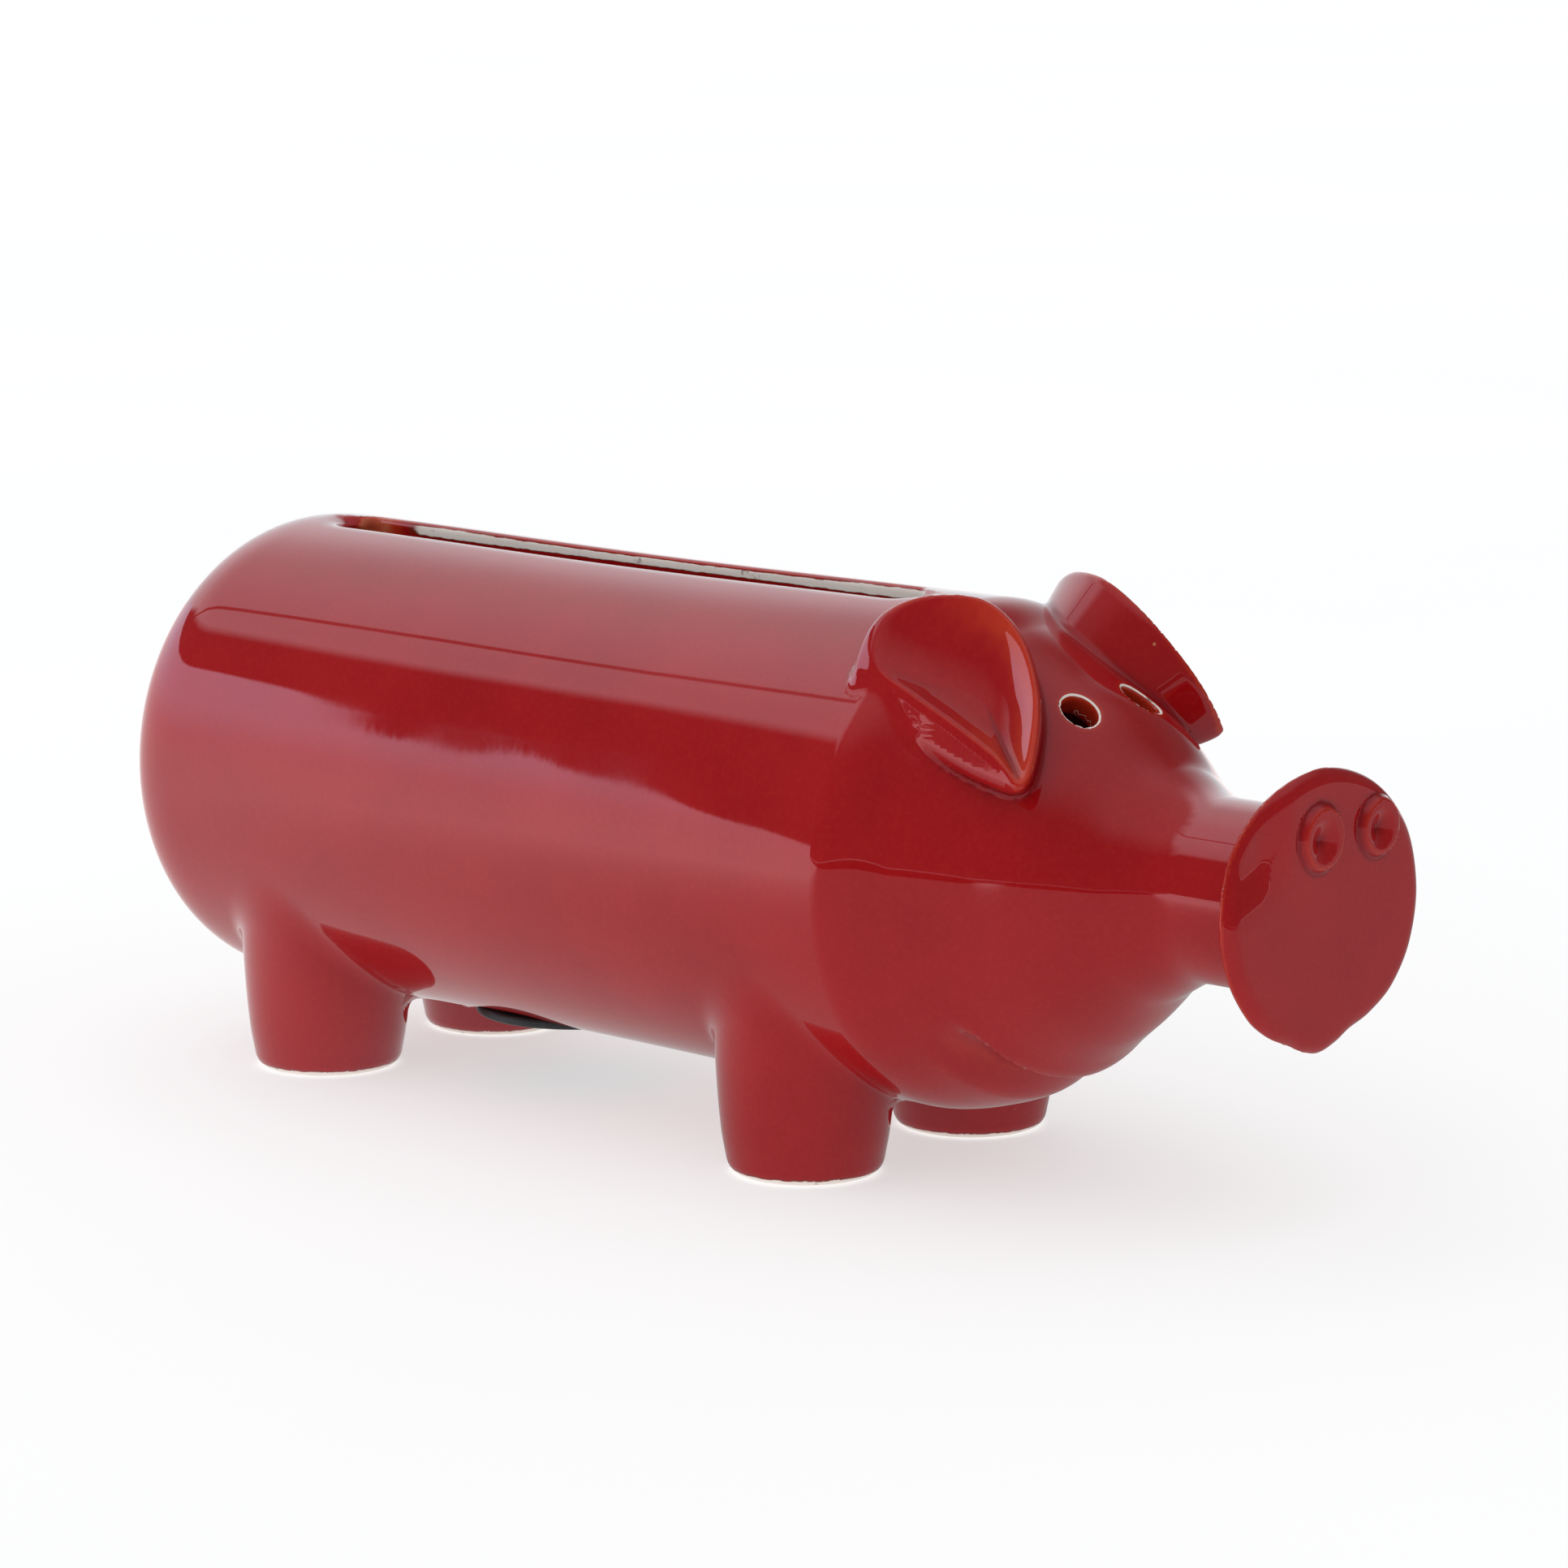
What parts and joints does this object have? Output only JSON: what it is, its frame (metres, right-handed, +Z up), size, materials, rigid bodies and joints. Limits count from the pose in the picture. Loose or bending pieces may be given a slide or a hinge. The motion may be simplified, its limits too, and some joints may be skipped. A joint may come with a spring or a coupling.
{
  "type": "figural animal coin bank",
  "caption": "Glazed ceramic pig with a long bottle-shaped body, a coin slot along its back, a disc snout, cupped ears, stub legs, and a rubber stopper in its belly.",
  "frame": {"origin": "centre of the bounding box in plan, on the plane the feet stand on", "axes": "+Z up, the pig faces -Y, +X is the pig's own left; the long axis of the body runs along Y"},
  "size_m": [0.074, 0.2186, 0.0863],
  "materials": {
    "oxblood_glaze": "deep gloss oxblood-red glaze over earthenware, thinning to orange brown at sharp edges, feet wiped bare",
    "stopper_rubber": "matt dark grey moulded rubber"
  },
  "bodies": {
    "bank": {"body_shell": "oxblood_glaze", "snout_disc": "oxblood_glaze", "nostril_right": "oxblood_glaze", "nostril_left": "oxblood_glaze", "ear_right": "oxblood_glaze", "ear_left": "oxblood_glaze", "leg_front_right": "oxblood_glaze", "leg_front_left": "oxblood_glaze", "leg_rear_right": "oxblood_glaze", "leg_rear_left": "oxblood_glaze", "tail": "oxblood_glaze"},
    "stopper": {"belly_stopper": "stopper_rubber"}
  },
  "joints": [
    {"name": "stopper_pull", "type": "slide", "parent": "bank", "child": "stopper", "axis": [0, 0, -1], "range_m": [0, 0.008]}
  ]
}
